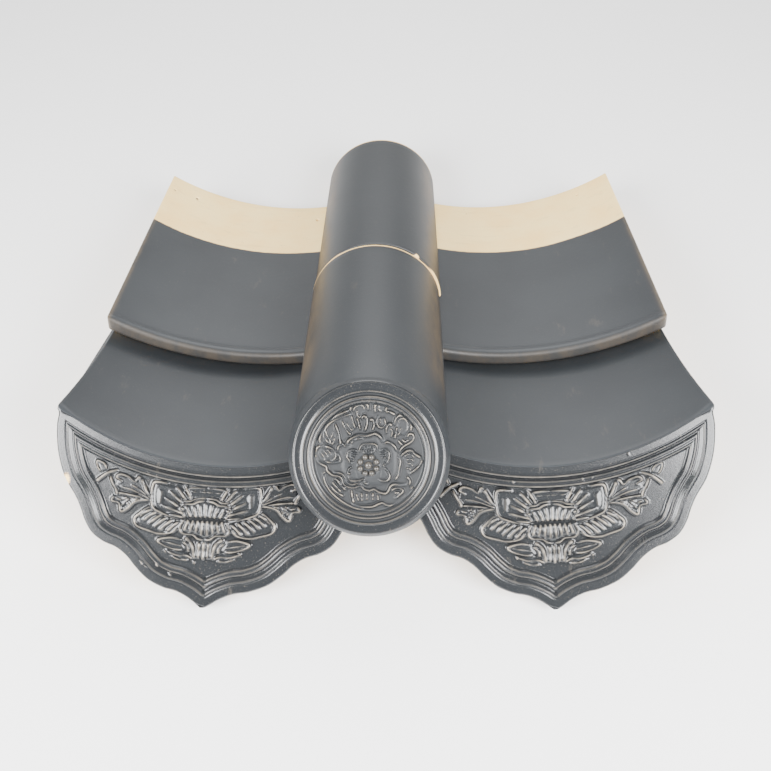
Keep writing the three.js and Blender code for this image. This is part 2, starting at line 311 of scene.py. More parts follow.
def coverStations(front):  # from the neck's end forwards: y, outer, inner, foot, inset; y = 0 at the shoulder
    t = coverTile
    neckInner = t["neckRadius"] - t["neckWall"]
    shellInner = t["radius"] - t["wall"]
    rows = [(t["neck"] - y, t["neckRadius"], neckInner, t["neckFoot"], q) for y, q in roundedEnd(1.4, 5)]
    rows += [(y, t["neckRadius"], neckInner, t["neckFoot"], 0) for y in (12, 6, 1.2, 0.3)]
    rows.append((0, t["neckRadius"] + 0.8, neckInner, t["neckFoot"] - 1, 0))
    rows += [(-y, t["radius"] - q, neckInner, t["foot"] + q, 0) for y, q in roundedEnd(1.5, 5)]
    rows += [(-t["collar"] + 2, t["radius"], neckInner, t["foot"], 0)]
    rows += [(-t["collar"] - 1, t["radius"], shellInner - 1, t["foot"], 0)]
    rows += [(y, t["radius"], shellInner, t["foot"], 0) for y in np.arange(-t["collar"] - 4, front, -6)]
    return rows


def coverBare(loop, y, front):  # bare clay on the neck, inside and along the front edge
    half = len(loop) // 2
    turn = np.arctan2(loop[:half, 0], loop[:half, 1])
    rubbed = -2.6 + 4.6 * smooth(turn, 0.8, 1.15) + 3.2 * smooth(-turn, 0.3, 0.8) + 0.5 * np.sin(9 * turn)
    chip = 6 * np.exp(-((turn - coverTile["chipAt"]) / 0.045) ** 2)
    outside = np.maximum(y + 3.0, front + rubbed + chip - y)
    within = np.minimum(loop[half:, 1] - 9, 20)
    return np.concatenate([outside, np.maximum(within, y + 3.0)])


def coverThin(points):  # the glaze ran thin and brown along the sides
    high = points[..., 2]
    return 0.75 * smooth(high, 6, 28) * (1 - smooth(high, 32, 50))


def buildRearCover(name):
    t = coverTile
    front = t["jointGap"] - t["rearLength"]
    rows = coverStations(front + 3)
    shell = (t["radius"], t["radius"] - t["wall"], t["foot"])
    rows += [(front + y, *shell, q) for y, q in reversed(roundedEnd(1.3, 6))]
    points, bare = [], []
    for y, outer, inner, foot, inset in rows:
        loop = archLoop(outer, inner, foot, inset)
        points.append(np.stack([loop[:, 0], np.full(len(loop), y), loop[:, 1]], -1))
        bare.append(coverBare(loop, y, front))
    points = np.array(points) + (t["rearLift"][0], t["rearLength"], t["rearLift"][1])
    values = {"bare": bare, "tone": np.zeros(points.shape[:2]), "thin": coverThin(points)}
    piece = makePiece(name, points, loftFaces(*points.shape[:2]), values)
    print("cover tile", name, len(piece.data.polygons), "faces")
    return piece


# Disc that closes the eave cover tile
eaveDisc = {
    "lean": 0.614, "topY": -215.4, "topZ": 62.4, "faceRadius": 59.9, "thickness": 13,
    "field": -2.4, "ringStep": 0.48, "edgeStep": 0.42, "around": 440,
    "glazeBreak": 1.05,  # how far behind the face the disc's glaze meets the shell's
    # radius and height of the turned border, from the field outwards
    "border": [(42.4, -2.4), (43.4, -2.1), (44.4, -0.7), (45.2, -0.1), (45.9, 0.1), (46.6, -0.5), (47.3, 0),
               (48.2, 0.4), (49, 0), (49.8, -1.4), (50.6, -1.9), (51.6, -1.6), (52.5, -0.3), (53.2, 0.1),
               (53.9, -0.2), (54.8, -0.5), (56.6, -0.6), (58.4, -0.5), (59.4, -0.3), (60, 0), (60.5, 0),
               (61, -0.4)],
    "rim": [(61.5, -1.0), (62, -1.8), (62.7, -3.1), (63.5, -4.8), (64.3, -6.5), (64.8, -8), (65, -9.4),
            (65, -10.6), (64.6, -11.9), (63.8, -12.7), (62.4, -13), (54, -13), (40, -13), (20, -13)],
    "lineWidth": 1.35, "lineRise": 1.2, "moundRise": 0.7,
    "flowerX": -0.5, "flowerY": -6.1,
}
# the pearls' fixed tone paints them a little lighter: wear and a painted highlight
pearls = {"count": 8, "ringRadius": 6.9, "radius": 2.4, "middleRadius": 3.1, "seat": 0.6, "tone": 0.35}
discUp = np.array([0, math.sin(eaveDisc["lean"]), math.cos(eaveDisc["lean"])])
discOut = np.array([0, -math.cos(eaveDisc["lean"]), math.sin(eaveDisc["lean"])])
discMiddle = np.array([0, eaveDisc["topY"], eaveDisc["topZ"]]) - eaveDisc["faceRadius"] * discUp


# the disc's flower in its wreath, from the middle of the disc: closed rings with the rise inside them
wreathMounds = [
    (1.3, 3, [(-7.5, 4.5), (-7, 8), (-5, 10.5), (0, 11.2), (5, 10.5), (6.5, 8), (5.5, 4.5), (0, 2)]),
    (1.2, 3, [(-8, 4), (-11, 6), (-16, 5), (-17.5, 1), (-15.5, -3), (-10, -3)]),
    (1.2, 3, [(8, 5), (13, 6.5), (16, 4), (16, 0), (14.5, -3.5), (9, -3)]),
    (1.2, 3, [(-9, -8), (-14, -7), (-17, -10), (-16.5, -15), (-13, -18.5), (-7, -17.5)]),
    (1.2, 3, [(8, -8), (12.5, -8), (15.5, -11), (16.5, -15), (12.5, -18.5), (7, -17)]),
    (0.9, 4, [(-17, 10), (-13, 15.5), (-8, 17.5), (0, 17.5), (4, 19), (8, 17.5), (11.5, 12), (19, 10.5),
              (22.5, 5), (23, -4), (22, -14), (14, -22), (4, -23), (-6, -21), (-15, -21), (-22, -12),
              (-23, -2), (-25, 6)]),
    (1.0, 3, [(-37.5, 10), (-38, 20), (-33, 28), (-24, 32), (-14, 35), (-10, 24), (-15, 18), (-22, 11)]),
    (1.3, 2.5, [(-30, 24), (-27, 27.5), (-24.5, 22), (-22, 12), (-28, 14)]),
    (1.2, 3, [(-38, 9.5), (-42.5, 5), (-41.5, 0), (-37, -4.5), (-30, -3), (-26, 1), (-28, 6)]),
    (1.5, 3, [(-14, 37), (-13, 41), (-7, 44), (-2, 43), (-0.5, 38), (-5, 33), (-10, 33)]),
    (1.5, 2.5, [(5.5, 36.5), (5.5, 42), (8, 44.5), (12, 43.5), (14, 40), (12.5, 36)]),
    (1.2, 2.5, [(7, 33), (6.5, 28), (8, 24.5), (11, 24), (13, 27), (12, 32)]),
    (1.3, 3, [(20.5, 26), (22, 31), (26, 33.5), (31, 31), (33.5, 25), (32, 18), (26, 17), (21, 20)]),
    (1.3, 2.5, [(13.5, 20), (14, 24), (16, 26.5), (19, 26), (19.5, 21), (17, 14)]),
    (1.2, 2.5, [(26, 9), (31, 12), (35, 14), (34, 18.5), (30, 15)]),
    (1.3, 3, [(24.5, 0), (30, 5), (34, 5), (42, -1), (38, -8), (31, -14), (28, -6)]),
    (0.9, 2, [(-14, -25), (0, -28), (8, -28.5), (8, -35), (-4, -38), (-13, -36)]),
]
wreathLines = [
    (1.9, 1.2, [(-8, 3.5), (-7, 8), (-5, 10.5), (0, 11.2), (5, 10.5), (6.7, 8), (6, 4)]),
    (2.0, 1.2, [(-8, 4.5), (-12, 6.2), (-16, 5), (-17.5, 1), (-16, -1.5), (-15, -4), (-11.5, -4)]),
    (2.0, 1.2, [(8, 5.5), (13, 6.6), (16, 4), (16, 0), (14.7, -3.5), (12, -5.5), (11, -8)]),
    (2.1, 1.2, [(-13, -7), (-16, -9), (-17, -12), (-14, -13)]),
    (1.8, 1.1, [(-17.3, -13), (-16.5, -16), (-13.5, -18.5), (-8, -18.2), (-4, -17), (-3.5, -20), (0, -21)]),
    (2.1, 1.2, [(11.5, -8), (14.5, -10), (16.5, -14), (15.5, -17.3), (12, -18.7), (7, -17.5)]),
    (2.2, 1.4, [(-17.5, 9.5), (-16.5, 13), (-13, 15.8), (-8, 17.6), (-3, 17.2), (1, 18), (5, 19), (9, 16.6),
                (11.5, 12)]),
    (1.8, 1.0, [(-14.5, 11), (-12, 13.7), (-8, 15.3), (-4, 15)]),
    (1.9, 1.1, [(13, 13), (17.5, 11.3), (20.5, 8.7), (22.5, 5)]),
    (1.7, 1.1, [(23.5, 1), (25, -3), (24, -9), (23, -14), (20.5, -18)]),
    (1.8, 1.1, [(-25, 5), (-24, 9), (-20.5, 10.6), (-18, 8.5)]),
    (1.6, 1.1, [(-25, 4), (-23, 0), (-23.5, -3), (-30, -3.8), (-35, -3)]),
    (2.1, 1.2, [(-42, 1), (-40.5, -3), (-37, -5.5), (-34.2, -7), (-33, -10.5), (-29, -13.8), (-23.5, -15),
                (-21.5, -17.5), (-20.5, -20.8), (-17, -23.3), (-12, -24), (-7, -22.4), (-4, -25),
                (0, -26.4), (4, -25.4), (8, -27.6), (12.5, -28.6), (15.2, -26.8), (17, -23), (20, -21.5),
                (25, -21.9), (30.5, -21.3)]),
    (1.6, 0.9, [(-29, -11.6), (-22, -12.8), (-19.2, -16), (-18, -19.6), (-13.5, -21.6), (-8, -20.3),
                (-4.5, -22.8)]),
    (2.2, 1.3, [(-37.5, 10), (-39, 14.5), (-38, 21), (-34.5, 27), (-28, 32), (-20, 35.8), (-14.5, 38)]),
    (2.1, 1.1, [(-36, 12), (-35.6, 20), (-32.5, 25.7), (-27, 30), (-20, 33), (-13, 35)]),
    (2.4, 1.5, [(-27, 28), (-24.6, 21.5), (-22.8, 14), (-22.2, 10.5)]),
    (2.0, 1.1, [(-34.5, 24), (-33.5, 18.5), (-31, 14.5), (-30, 10.5)]),
    (1.9, 0.9, [(-28, 21), (-29.5, 17), (-31, 14.5)]),
    (1.8, 0.9, [(-35, 16.5), (-33, 13), (-30, 10.8)]),
    (1.8, 0.9, [(-27, 16), (-28, 12.5), (-30, 10.5)]),
    (2.0, 1.1, [(-21.5, 30), (-19.5, 25), (-16.5, 20.5), (-13.5, 17.8)]),
    (1.8, 0.9, [(-18, 28.5), (-15.5, 24), (-12.5, 21.5)]),
    (1.9, 1.0, [(-14, 34), (-12.5, 28.5), (-10.5, 23)]),
    (2.2, 1.3, [(-38, 9.8), (-41.5, 7.5), (-43, 3.5), (-42, 0)]),
    (1.8, 1.1, [(-36, 9.5), (-30, 7.5), (-26.5, 3.5), (-27, -0.5), (-31, -3.2)]),
    (1.8, 0.8, [(-38.5, 5), (-36, 1), (-35, -2.5)]),
    (1.8, 0.8, [(-36, 6), (-33.6, 3), (-32.5, 0)]),
    (1.8, 0.8, [(-33.5, 6.5), (-31, 4.2), (-30, 1.5)]),
    (2.4, 1.2, [(-14.7, 36.5), (-14, 40), (-11.3, 43), (-7, 44.4), (-3, 43.7), (-0.7, 41), (-0.6, 37.5)]),
    (2.2, 0.9, [(-12.3, 36.5), (-10.8, 40), (-7, 41.8), (-4.2, 40.7), (-3, 37.5)]),
    (2.1, 0.9, [(-9, 38.2), (-9.3, 34.5), (-7, 32.2), (-6.2, 35)]),
    (2.1, 1.1, [(-9.5, 32), (-7.8, 27), (-6.8, 22)]),
    (2.1, 1.1, [(-6.3, 30.5), (-3.8, 33), (-1.2, 30.5), (-1.8, 25), (-3.5, 21)]),
    (2.1, 1.1, [(0.5, 30), (3.2, 30), (4.2, 26), (2.5, 21)]),
    (2.4, 1.2, [(5.4, 36), (5, 40.5), (6.8, 44.4), (9, 44.3)]),
    (2.3, 1.1, [(9.5, 42.5), (12, 43.2), (14.2, 40.3), (12.6, 36.4)]),
    (2.0, 0.8, [(8.2, 42), (8, 38.6), (10.4, 36.8)]),
    (2.0, 1.0, [(7.2, 33.5), (6.4, 28.5), (8, 24.6), (11, 24.2), (13.2, 27), (12, 32)]),
    (1.8, 0.8, [(9, 31.5), (9.3, 27)]),
    (2.0, 1.0, [(13, 36.8), (17, 36.2), (21.5, 33.6)]),
    (2.4, 1.2, [(20.3, 25.5), (21.6, 31), (25, 33.6), (29, 33.2), (32.2, 29.8), (33.6, 25), (32.8, 20.5)]),
    (2.0, 0.9, [(23, 26), (24.2, 29.8), (27.5, 31.2), (30, 28.6), (30.8, 24), (29.5, 20)]),
    (2.3, 1.3, [(14.2, 19), (13.9, 23), (15.7, 26.3), (18.8, 25.8)]),
    (2.0, 0.9, [(17, 23.4), (18.6, 20.4), (17.4, 16)]),
    (2.1, 1.1, [(22.4, 24.5), (21.5, 19.5), (20.5, 15)]),
    (1.9, 0.9, [(25.5, 24), (24.6, 20.5), (22.5, 17.5)]),
    (2.2, 1.1, [(30, 15.5), (32, 18.8), (35, 18), (35.2, 14.5), (32.4, 12), (28, 9.4), (25.2, 6.5),
                (24, 3.5)]),
    (1.9, 0.8, [(26, 14.5), (29, 12.6), (31.5, 14.4)]),
    (1.9, 0.8, [(23, 14), (25.5, 11), (28, 9.4)]),
    (2.4, 1.3, [(24.5, 0), (27, 3), (30.5, 5.3), (34, 5.4), (36.2, 3), (39, 1.2), (42, -0.8)]),
    (2.1, 1.1, [(42, -1.5), (40.5, -5.5), (36.5, -9.5), (31, -13.5)]),
    (1.9, 0.9, [(27.5, 0), (30.5, 2.6), (34, 2.2), (36.5, -0.5)]),
    (1.9, 0.8, [(29.5, -2), (33, -1), (36, -3.5)]),
    (1.9, 0.8, [(29.8, -5), (33, -4.6), (35, -7)]),
    (1.9, 0.8, [(29.5, -8.5), (32, -8.5), (33.4, -10.5)]),
    (2.0, 1.1, [(30, -15), (32.6, -18.5), (31.6, -22)]),
    (1.8, 1.0, [(17, -27), (20, -24.8), (24, -24.4), (27, -26.5), (24, -30), (20, -33)]),
    (1.7, 0.9, [(20.5, -28), (24.5, -28.2)]),
    (2.0, 1.0, [(-36, -13.5), (-35.2, -19), (-32, -25), (-27, -30.5), (-20, -36), (-12, -40), (-4, -42)]),
    (2.4, 1.5, [(-28, -16.3), (-25, -18), (-22.7, -21.5), (-18, -26)]),
    (1.9, 0.9, [(-29.5, -19), (-26.5, -22.8), (-22, -27.5)]),
    (1.9, 0.9, [(-31, -22), (-26, -27.5), (-20, -31)]),
    (2.3, 1.3, [(-14, -25), (-13.4, -30.5), (-12, -36)]),
    (2.1, 1.1, [(-10.3, -29), (-9, -32), (-8.2, -35)]),
    (2.1, 1.1, [(-6.3, -28), (-5.8, -31), (-5.8, -35)]),
    (1.9, 1.0, [(-2, -28.5), (-1.6, -34)]),
    (2.2, 1.2, [(3, -27.5), (3, -34)]),
    (2.0, 1.0, [(6.6, -29), (7.4, -34)]),
    (1.9, 1.0, [(-14, -37), (-6, -39.3), (2, -39.3), (8, -36.8), (11, -36.4), (14.5, -38.2), (20, -38),
                (26, -35), (30, -30)]),
    (2.4, 1.3, [(-36.2, -11.8), (-35.8, -12.4)]),
    (2.4, 1.3, [(33.6, -23.8), (34.2, -24.2)]),
    (2.2, 1.2, [(13.2, 12.2), (13.8, 11.8)]),
]


def discRelief(points):
    height = np.zeros(len(points))
    for rise, soft, ring in wreathMounds:
        raiseMound(height, points, ring, rise * eaveDisc["moundRise"], soft)
    for rise, width, path in wreathLines:
        drawLine(height, points, path, width * eaveDisc["lineWidth"], rise * eaveDisc["lineRise"])
    for k in range(-2, 3):  # ribs on the inner petals
        drawLine(height, points, [(1.9 * k, 3), (2.5 * k, 9.6 - 0.3 * k * k)], 1, 1.2, (0.1, 0.4), True)
    for k in range(4):
        for side in (-1, 1):
            rib = [(side * (8.6 + k), 3.2 - 1.9 * k), (side * 14.6, 4.3 - 1.9 * k)]
            drawLine(height, points, rib, 0.8, 1.1, (0.1, 0.4), True)
    away = np.hypot(points[:, 0] - eaveDisc["flowerX"], points[:, 1] - eaveDisc["flowerY"])
    dish = smooth(away, 7.8, 9.8)
    return height * dish


def buildPearls(name):  # the flower's heart: one pearl in the middle and a ring of smaller ones
    tree = bpy.data.node_groups.new(name, "GeometryNodeTree")
    labels = {"Count": "Int", "Ring Radius": "Float", "Pearl Radius": "Float", "Middle Radius": "Float"}
    sockets = [tree.interface.new_socket(label, in_out="INPUT", socket_type="NodeSocket" + kind)
               for label, kind in labels.items()]
    tree.interface.new_socket("Material", in_out="INPUT", socket_type="NodeSocketMaterial")
    tree.interface.new_socket("Geometry", in_out="OUTPUT", socket_type="NodeSocketGeometry")
    given = tree.nodes.new("NodeGroupInput").outputs
    ring = addNode(tree, "GeometryNodeMeshCircle", {},
                   {"Vertices": given["Count"], "Radius": given["Ring Radius"]})
    small = addNode(tree, "GeometryNodeMeshUVSphere", {},
                    {"Segments": 20, "Rings": 12, "Radius": given["Pearl Radius"]})
    turned = addNode(tree, "GeometryNodeTransform", {},
                     {"Geometry": ring.outputs[0], "Rotation": (0, 0, math.pi / pearls["count"])})
    copies = addNode(tree, "GeometryNodeInstanceOnPoints", {},
                     {"Points": turned.outputs[0], "Instance": small.outputs[0]})
    middle = addNode(tree, "GeometryNodeMeshUVSphere", {},
                     {"Segments": 28, "Rings": 16, "Radius": given["Middle Radius"]})
    both = tree.nodes.new("GeometryNodeJoinGeometry")
    tree.links.new(copies.outputs[0], both.inputs[0])
    tree.links.new(middle.outputs[0], both.inputs[0])
    real = addNode(tree, "GeometryNodeRealizeInstances", {}, {"Geometry": both.outputs[0]})
    coated = addNode(tree, "GeometryNodeSetMaterial", {},
                     {"Geometry": real.outputs[0], "Material": given["Material"]})
    tree.links.new(coated.outputs[0], tree.nodes.new("NodeGroupOutput").inputs[0])

    holder = bpy.data.objects.new(name, bpy.data.meshes.new(name))
    bpy.context.scene.collection.objects.link(holder)
    grow = holder.modifiers.new("pearls", "NODES")
    grow.node_group = tree
    sizes = (pearls["count"], *(pearls[key] * metre for key in ("ringRadius", "radius", "middleRadius")))
    for socket, size in zip(sockets, sizes):
        grow[socket.identifier] = size
    mesh = plainMesh(holder)
    bpy.data.objects.remove(holder)
    seat = discMiddle + np.array([eaveDisc["flowerX"], 0, 0]) + eaveDisc["flowerY"] * discUp
    seat = seat + (eaveDisc["field"] + pearls["seat"]) * discOut
    axes = np.array([toRow(v, False) for v in ((1, 0, 0), discUp, discOut)])
    flat = np.array([v.co for v in mesh.vertices])
    mesh.vertices.foreach_set("co", (flat @ axes + toRow(seat)).ravel())
    # the pearls' tone paints them a little lighter: wear and a painted highlight
    for label, amount in (("bare", fullGlaze), ("tone", pearls["tone"])):
        mark(mesh, label, np.full(len(mesh.vertices), amount))
    return putIn(name, mesh)


def buildEaveCover(name):
    t, d = coverTile, eaveDisc
    rows = coverStations(-20)
    points, bare = [], []
    for y, outer, inner, foot, inset in rows:
        loop = archLoop(outer, inner, foot, inset)
        points.append(np.stack([loop[:, 0], np.full(len(loop), y), loop[:, 1]], -1))
        bare.append(coverBare(loop, y, noStrip))
    loop = archLoop(t["radius"], t["radius"] - t["wall"], t["foot"], 0)
    start = points[-1][0, 1]
    reach = np.linalg.norm(loop, axis=1)
    spoke = (loop[:, 1] - t["foot"]) * reach / (reach - t["foot"])
    crown = smooth(loop[:, 1] / reach, 0.35, 0.95)  # over the top the shell runs right up to the disc's edge
    crown[len(loop) // 2:] = 0
    inwards = t["inset"] + t["crownInset"] * crown
    up = spoke * (reach - inwards + t["inset"]) / reach
    target = discMiddle + (t["crownRise"] * crown - t["behind"])[:, None] * discOut + up[:, None] * discUp
    target[:, 0] = loop[:, 0] * (reach - inwards) / reach
    for v in np.linspace(0, 1, 44)[1:]:
        fade = max(0, 1 - (1 - v) / t["grow"])
        share = fade ** 2 * (1 + 2 * (1 - fade) * (1 - crown))  # an even fall over the crown
        x = loop[:, 0] + (target[:, 0] - loop[:, 0]) * share
        z = loop[:, 1] + (target[:, 2] - loop[:, 1]) * share
        points.append(np.stack([x, start + (target[:, 1] - start) * v, z], -1))
        bare.append(coverBare(loop, t["forward"], noStrip))
    points = np.array(points)
    shape = points.shape[:2]
    thin = coverThin(points) * smooth(points[..., 1], -205, -150)
    shell = makePiece(name, points, loftFaces(*shape), {"bare": bare, "tone": np.zeros(shape), "thin": thin})

    fieldRings = np.arange(d["ringStep"], d["border"][0][0], d["ringStep"])
    profile = np.array(d["border"])
    edgeRings = np.arange(profile[0, 0], profile[-1, 0], d["edgeStep"])
    radii = np.concatenate([fieldRings, edgeRings, [r for r, _ in d["rim"]]])
    around = np.linspace(0, math.tau, d["around"], endpoint=False)
    flat = np.stack([np.outer(radii, np.cos(around)), np.outer(radii, np.sin(around))], -1)
    turned = spline(profile, 140)
    edgeHigh = turned[np.searchsorted(turned[:, 0], edgeRings).clip(0, 139), 1]
    high = np.concatenate([np.full(len(fieldRings), d["field"]), edgeHigh, [h for _, h in d["rim"]]])
    high = np.repeat(high[:, None], d["around"], 1)
    front = len(fieldRings) + len(edgeRings)
    high[:len(fieldRings)] += discRelief(flat[:len(fieldRings)].reshape(-1, 2)).reshape(-1, d["around"])
    tone = np.zeros(high.shape)
    # the disc's tone paints its crests lighter (wear and a painted highlight) and its hollows darker (pooled
    # glaze and painted shade)
    tone[:front] = reliefTone(high[:front])
    tone[:len(fieldRings)] = 1.35 * tone[:len(fieldRings)] - 0.3  # the recessed field behind the flower is painted darker: glaze pooled there, and painted shade
    body = discMiddle + flat[..., :1] * [1, 0, 0] + flat[..., 1:] * discUp + high[..., None] * discOut
    heart = discMiddle + (d["field"] + 1) * discOut
    back = discMiddle - d["thickness"] * discOut
    count = body.shape[0] * body.shape[1]
    ring = np.arange(d["around"])
    after = np.roll(ring, -1)
    caps = np.stack([after, ring, np.full(len(ring), count)], -1).tolist()
    lastRing = count - d["around"]
    caps += np.stack([lastRing + ring, lastRing + after, np.full(len(ring), count + 1)], -1).tolist()
    flatBody = np.vstack([body.reshape(-1, 3), heart, back])
    values = {"bare": np.full(count + 2, fullGlaze), "tone": np.append(tone.ravel(), [0, 0])}
    disc = makePiece("disc", flatBody, sheetFaces(len(radii), d["around"], True), values, caps)
    unite(shell, disc)
    unite(shell, buildPearls("pearls"))
    flatMiddle, flatOut = toRow(discMiddle), toRow(discOut, False)
    for face in shell.data.polygons:  # the disc has the ornaments' glaze, the shell the cover tiles'
        forward = np.dot(np.array(face.center) - flatMiddle, flatOut)
        face.material_index = int(forward > -d["glazeBreak"] * metre)
    print("eave cover tile", name, len(shell.data.polygons), "faces")
    return shell


def unite(piece, other):  # the seam's own points count as glazed
    combine(piece, other, "UNION")
    marks = np.zeros(len(piece.data.vertices), np.float32)
    piece.data.attributes["bare"].data.foreach_get("value", marks)
    marks[np.abs(marks) < 1e-4] = fullGlaze
    piece.data.attributes["bare"].data.foreach_set("value", marks)


# small lumps of glaze and grit on the pendants: across, up, size, rise
leftFlaws = [
    (-57, -84.5, 2, 1.5), (-54, -87, 1.4, 1), (-44.5, -86, 2.4, 1.8), (-33, -93, 2.2, 1.4),
    (-14, -82.5, 2, 1.2),
]
rightFlaws = [(24, -13, 1.8, 1), (-33, -12, 1.8, 0.9), (62, 6, 2, 0.9), (32, -12, 1.2, 0.6)]
# a chip down to the clay on the left pendant: across, up, size
leftChips = [(-123.2, -19, 2.8)]

# Drip tiles: a pan whose front end is closed by a leaning pendant
dripTile = {
    "radius": 270, "wall": 11, "length": 307, "halfAngle": 0.476, "flare": 0.045, "flareLength": 173,
    "axisX": 117.6, "valleyY": -229.5, "valleyZ": -15.7, "pitch": -0.061, "roll": 0.081,
    "lean": 0.599, "thickness": 12, "edge": 2.2, "fillet": 1.8, "cornerFillet": 4,
    "columns": 336, "faceRows": 196, "rowsOver": 28, "rowsUnder": 20, "tip": 119.3, "foot": 2, "sway": -4.5,
    "glazeEnd": 200,
    "lineWidth": 1.25, "lineRise": 1.1,
}
# right half of the pendant's wavy edge: distance from the middle, distance below the valley
pendantWaves = [
    (132.6, -38), (134, -24), (131.6, -3), (125, 17), (115.5, 32), (110.5, 42), (106.5, 52), (100, 62),
    (90, 69), (79, 73.2), (69.5, 80), (61, 89), (50, 98.2), (36, 104.4), (24, 107), (14, 111.4), (6, 116.8),
]
# the border's steps: distance in from the wavy edge, distance in from the top edge, height there
borderSteps = [
    (0, 0, 0), (7.0, 6.0, 0), (8.2, 7.4, -0.4), (9.4, 9.0, 0.3), (13.4, 11.3, -1.7), (15.6, 13.4, -0.3),
    (17.1, 15.7, -0.8), (18.8, 17.0, -0.3), (21.8, 19.6, -2.6),
]
# right half of the peony, from its own middle and the valley: closed rings with the rise inside them
peonyMounds = [
    (1.1, 3, [(15, -21), (23, -19.5), (33, -17.5), (42, -16.5), (45, -20), (45.5, -30), (43.5, -38),
              (37, -41.5), (28, -44.5), (19, -47), (19, -40), (22, -35), (18, -30)]),
    (2.0, 9, [(33, -18), (42, -17), (45, -21), (45.5, -30), (43, -38), (35, -41), (31, -34), (29, -25)]),
    (1.0, 4, [(43, -38), (48, -38), (55, -44), (58.5, -48.5), (56, -54), (46, -57.5), (38, -59.5),
              (29, -58.5), (24, -55), (20, -48.5), (27, -46.5), (36, -43)]),
    (0.8, 2, [(-17, -20), (0, -19), (17, -20), (17, -26), (8, -28), (-8, -28), (-17, -26)]),
    (1.2, 2.5, [(-16.5, -45), (-21, -38.5), (-17, -33.6), (-6, -31), (0, -30), (6, -31), (11, -33.3),
                (17, -33.6), (20.5, -35.5), (21, -38.5), (18.5, -42), (16.5, -45)]),
    (1.5, 5, [(-16, -46), (0, -45.5), (16, -46), (19, -50), (20.5, -55), (17, -58.5), (9.5, -59), (5, -62),
              (0, -63), (-5, -62), (-9.5, -59), (-20, -57)]),
    (1.0, 2, [(47, -28), (53, -18), (57, -14), (65, -14), (73, -12), (76, -17), (75, -23), (60, -28)]),
    (1.0, 2, [(45, -32), (59, -33), (65, -40), (70, -42.5), (72, -36), (78, -34), (76, -29), (60, -29)]),
    (1.2, 2, [(92, -2), (86, -4), (82.5, -10), (88, -11.5), (91, -7)]),
    (1.0, 2, [(18, -64), (28, -62.3), (38, -64.5), (34, -69), (25, -72), (15, -72)]),
    (0.9, 2, [(9, -79), (14, -74), (22, -72.5), (31, -73.5), (27, -77.5), (18, -80)]),
]
# raised lines: rise, half width, points
peonyLines = [
    (2.3, 1.3, [(31, -17.6), (42, -16.5), (45, -20), (45.6, -30), (43.5, -38), (37, -41.8), (28, -44.8),
                (19, -47.2)]),
    (2.0, 1.1, [(43, -38), (48, -38.5), (55, -44), (58.5, -48.5), (56, -54), (46, -57.5), (38, -59.5),
                (29, -58.5), (24, -55), (20, -48.5)]),
    (1.8, 1.0, [(45, -41), (49, -42), (55, -47)]),
    (1.8, 1.2, [(-1, -20), (7, -19.5), (15, -20.5), (17, -22.5)]),
    (1.4, 1.0, [(-1, -22.8), (8, -23.2), (14, -22.6)]),
    (2.0, 1.0, [(-1, -27.8), (8, -28.8), (13, -31), (20, -31.5), (22.5, -34.5)]),
    (2.4, 1.2, [(-1, -30), (6, -31), (11, -33.3), (17, -33.6), (20.5, -35.5), (21, -38.5), (18.5, -42),
                (16.5, -45)]),
    (1.9, 1.2, [(16, -46), (19, -50), (20.5, -55), (17, -58.5), (9.5, -59), (5, -62), (-1, -63)]),
    (2.5, 1.9, [(45, -30.5), (49, -26), (52, -20), (55, -15)]),
    (2.3, 1.2, [(55, -15), (57, -14), (60, -17.5), (65, -14), (72, -12), (75, -14.5), (71, -17.5),
                (73, -20)]),
    (2.1, 1.0, [(73, -22), (63, -24), (53, -28), (45, -31.5)]),
    (2.0, 1.0, [(63, -20), (56, -23.5), (48, -29)]),
    (2.1, 1.0, [(74, -27.5), (64, -28.5), (50, -31)]),
    (2.3, 1.3, [(76, -30), (78, -34), (72, -36), (70, -42.5), (65, -40), (59, -34), (51, -32), (43, -32.5)]),
    (2.0, 0.9, [(75, -32), (70, -33), (65, -30.5)]),
    (2.1, 1.0, [(70, -38.5), (66, -34), (63, -31)]),
    (2.0, 0.9, [(66, -38), (61, -33), (55, -31)]),
    (2.2, 1.3, [(74, -29), (75, -25), (78, -20), (81, -13)]),
    (2.3, 1.3, [(92, -19), (87, -14.5), (82, -11), (74, -8.5)]),
    (2.2, 1.1, [(83, -10), (86, -4), (92, -2), (91, -7), (88, -11)]),
    (2.6, 2.0, [(16, -61.5), (11, -65.5), (8.5, -71), (7, -79)]),
    (2.1, 1.3, [(17, -65), (13, -69), (12, -74)]),
    (2.2, 1.1, [(18, -64), (28, -62.3), (38, -64.8), (34, -68.5), (25, -71.5), (17, -72)]),
    (2.0, 0.9, [(17, -69), (27, -67), (36, -65)]),
    (1.9, 1.1, [(8, -79), (14, -76.5), (22, -76.5), (31, -73.6)]),
    (1.5, 1.0, [(12, -80), (20, -80), (27, -77)]),
    (2.6, 1.7, [(30.6, -73.9), (31.4, -73.5)]),
    (2.2, 1.3, [(0, -64), (0, -80)]),
    (2.0, 1.1, [(3.8, -65), (4, -79)]),
]


def swayed(x):  # the moulds lean a little to the left towards the tip
    return x + dripTile["sway"] * (1 - smooth(np.abs(x), 0, 90))


def pendantOutline():
    half = spline([(x, -y) for x, y in pendantWaves], 120)
    tip = [(dripTile["foot"], -dripTile["tip"])]
    right = np.vstack([half, tip])
    line = np.vstack([right * (-1, 1), right[::-1]])
    line[:, 0] = swayed(line[:, 0])
    return line


def drawRibs(height, points, origin, angles, reach, width, rise):  # straight ribs that spread like a fan
    for angle, (first, last) in zip(angles, reach):
        out = np.array([math.cos(math.radians(angle)), math.sin(math.radians(angle))])
        drawLine(height, points, [origin + out * first, origin + out * last], width, rise, (0.08, 0.55), True)


